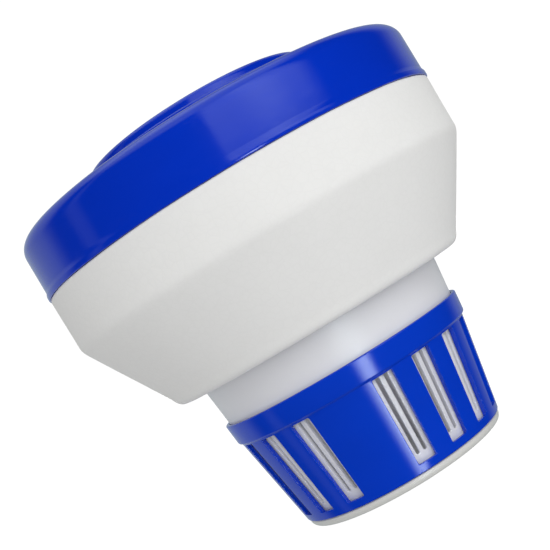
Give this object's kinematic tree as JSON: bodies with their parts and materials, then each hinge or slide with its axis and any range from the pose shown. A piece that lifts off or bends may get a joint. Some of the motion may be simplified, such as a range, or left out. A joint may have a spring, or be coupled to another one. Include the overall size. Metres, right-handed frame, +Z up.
{
  "type": "floating chlorine dispenser",
  "caption": "Floating pool chlorine dispenser: lift-off lid, foam float ring, slotted tablet basket and a turning vent ring.",
  "frame": {"origin": "on the vertical axis, at the underside of the base cap that the object stands on", "axes": "+Z up along the axis from the base cap to the lid; -Y towards the side seen in the view the sizes came from"},
  "size_m": [0.18, 0.18, 0.1715],
  "materials": {
    "lid": "glossy injection moulded polypropylene",
    "foam": "matt moulded bead foam",
    "basket": "satin gloss injection moulded polypropylene",
    "vent_ring": "glossy injection moulded polypropylene",
    "base_cap": "satin injection moulded polypropylene"
  },
  "bodies": {
    "basket": {"basket": "basket", "float_ring": "foam", "base_cap": "base_cap"},
    "vent_ring": {"vent_ring": "vent_ring"},
    "lid": {"lid": "lid"}
  },
  "joints": [
    {"name": "vent_turn", "type": "hinge", "parent": "basket", "child": "vent_ring", "pos_m": [0, 0, 0.03], "axis": [0, 0, 1], "range_deg": [0, 10]},
    {"name": "lid_lift", "type": "slide", "parent": "basket", "child": "lid", "axis": [0, 0, 1], "range_m": [0, 0.09]}
  ]
}
